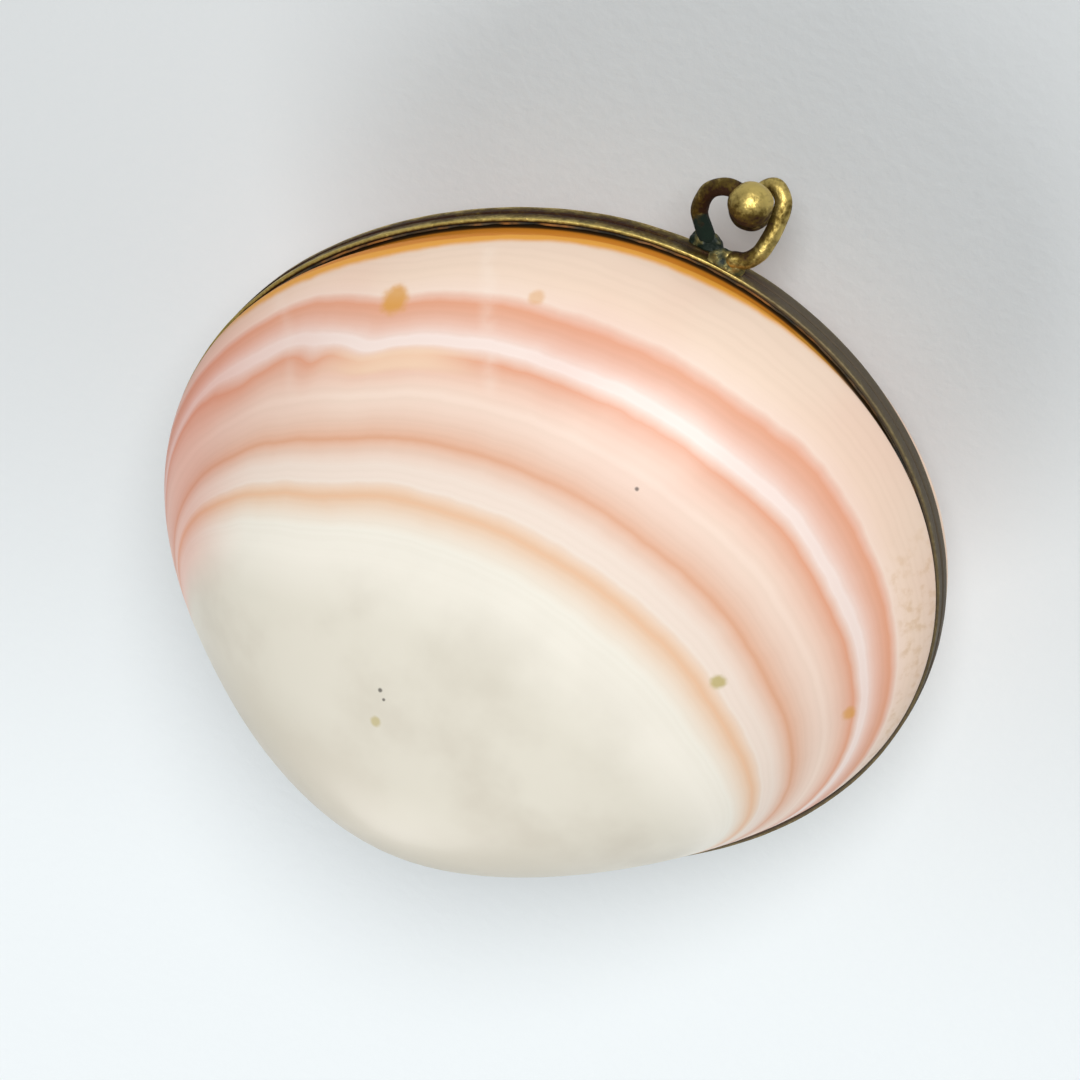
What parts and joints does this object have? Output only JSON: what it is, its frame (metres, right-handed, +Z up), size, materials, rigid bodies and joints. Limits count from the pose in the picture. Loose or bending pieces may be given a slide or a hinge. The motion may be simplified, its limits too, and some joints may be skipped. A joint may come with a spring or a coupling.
{
  "type": "shell trinket box",
  "caption": "Hinged trinket box made of a pair of polished clam valves in brass bands, shut by curled wire hooks with ball ends.",
  "frame": {"origin": "centre of the small rest flat under the lower valve, where the box touches the ground", "axes": "+Z up, -Y towards the catch, +Y towards the hinge, +X along the hinge to the right seen from the catch; the parting plane leans 10 degrees down towards the catch"},
  "size_m": [0.0785, 0.0809, 0.0448],
  "materials": {
    "shell": "polished shell, cream with pink and peach growth bands, soft gloss",
    "brass": "aged, satin, dark in the hollows",
    "cement": "old dark brown fixing cement, matt",
    "solder": "rough grey-green solder with verdigris"
  },
  "bodies": {
    "base": {"lower_valve": "shell", "lower_band": "brass", "lower_cement": "cement", "lower_hinge_leaf": "brass", "hinge_pin": "brass", "lower_catch_solder": "solder"},
    "lid": {"upper_valve": "shell", "upper_band": "brass", "upper_cement": "cement", "upper_hinge_leaf": "brass", "upper_catch_solder": "solder"},
    "lower_catch": {"lower_catch_hook": "brass", "lower_catch_ball": "brass"},
    "upper_catch": {"upper_catch_hook": "brass", "upper_catch_ball": "brass"}
  },
  "joints": [
    {"name": "lid_hinge", "type": "hinge", "parent": "base", "child": "lid", "pos_m": [0.00513, 0.03483, 0.02639], "axis": [-1, 0, 0], "range_deg": [0, 105]},
    {"name": "lower_catch_spring", "type": "hinge", "parent": "base", "child": "lower_catch", "pos_m": [-0.00022, -0.03639, 0.01276], "axis": [0, -0.1736, 0.9848], "range_deg": [0, 24], "stiffness_Nm_per_rad": 0.1},
    {"name": "upper_catch_spring", "type": "hinge", "parent": "lid", "child": "upper_catch", "pos_m": [-0.00367, -0.03666, 0.01485], "axis": [0, -0.1736, 0.9848], "range_deg": [-24, 0], "stiffness_Nm_per_rad": 0.1}
  ]
}
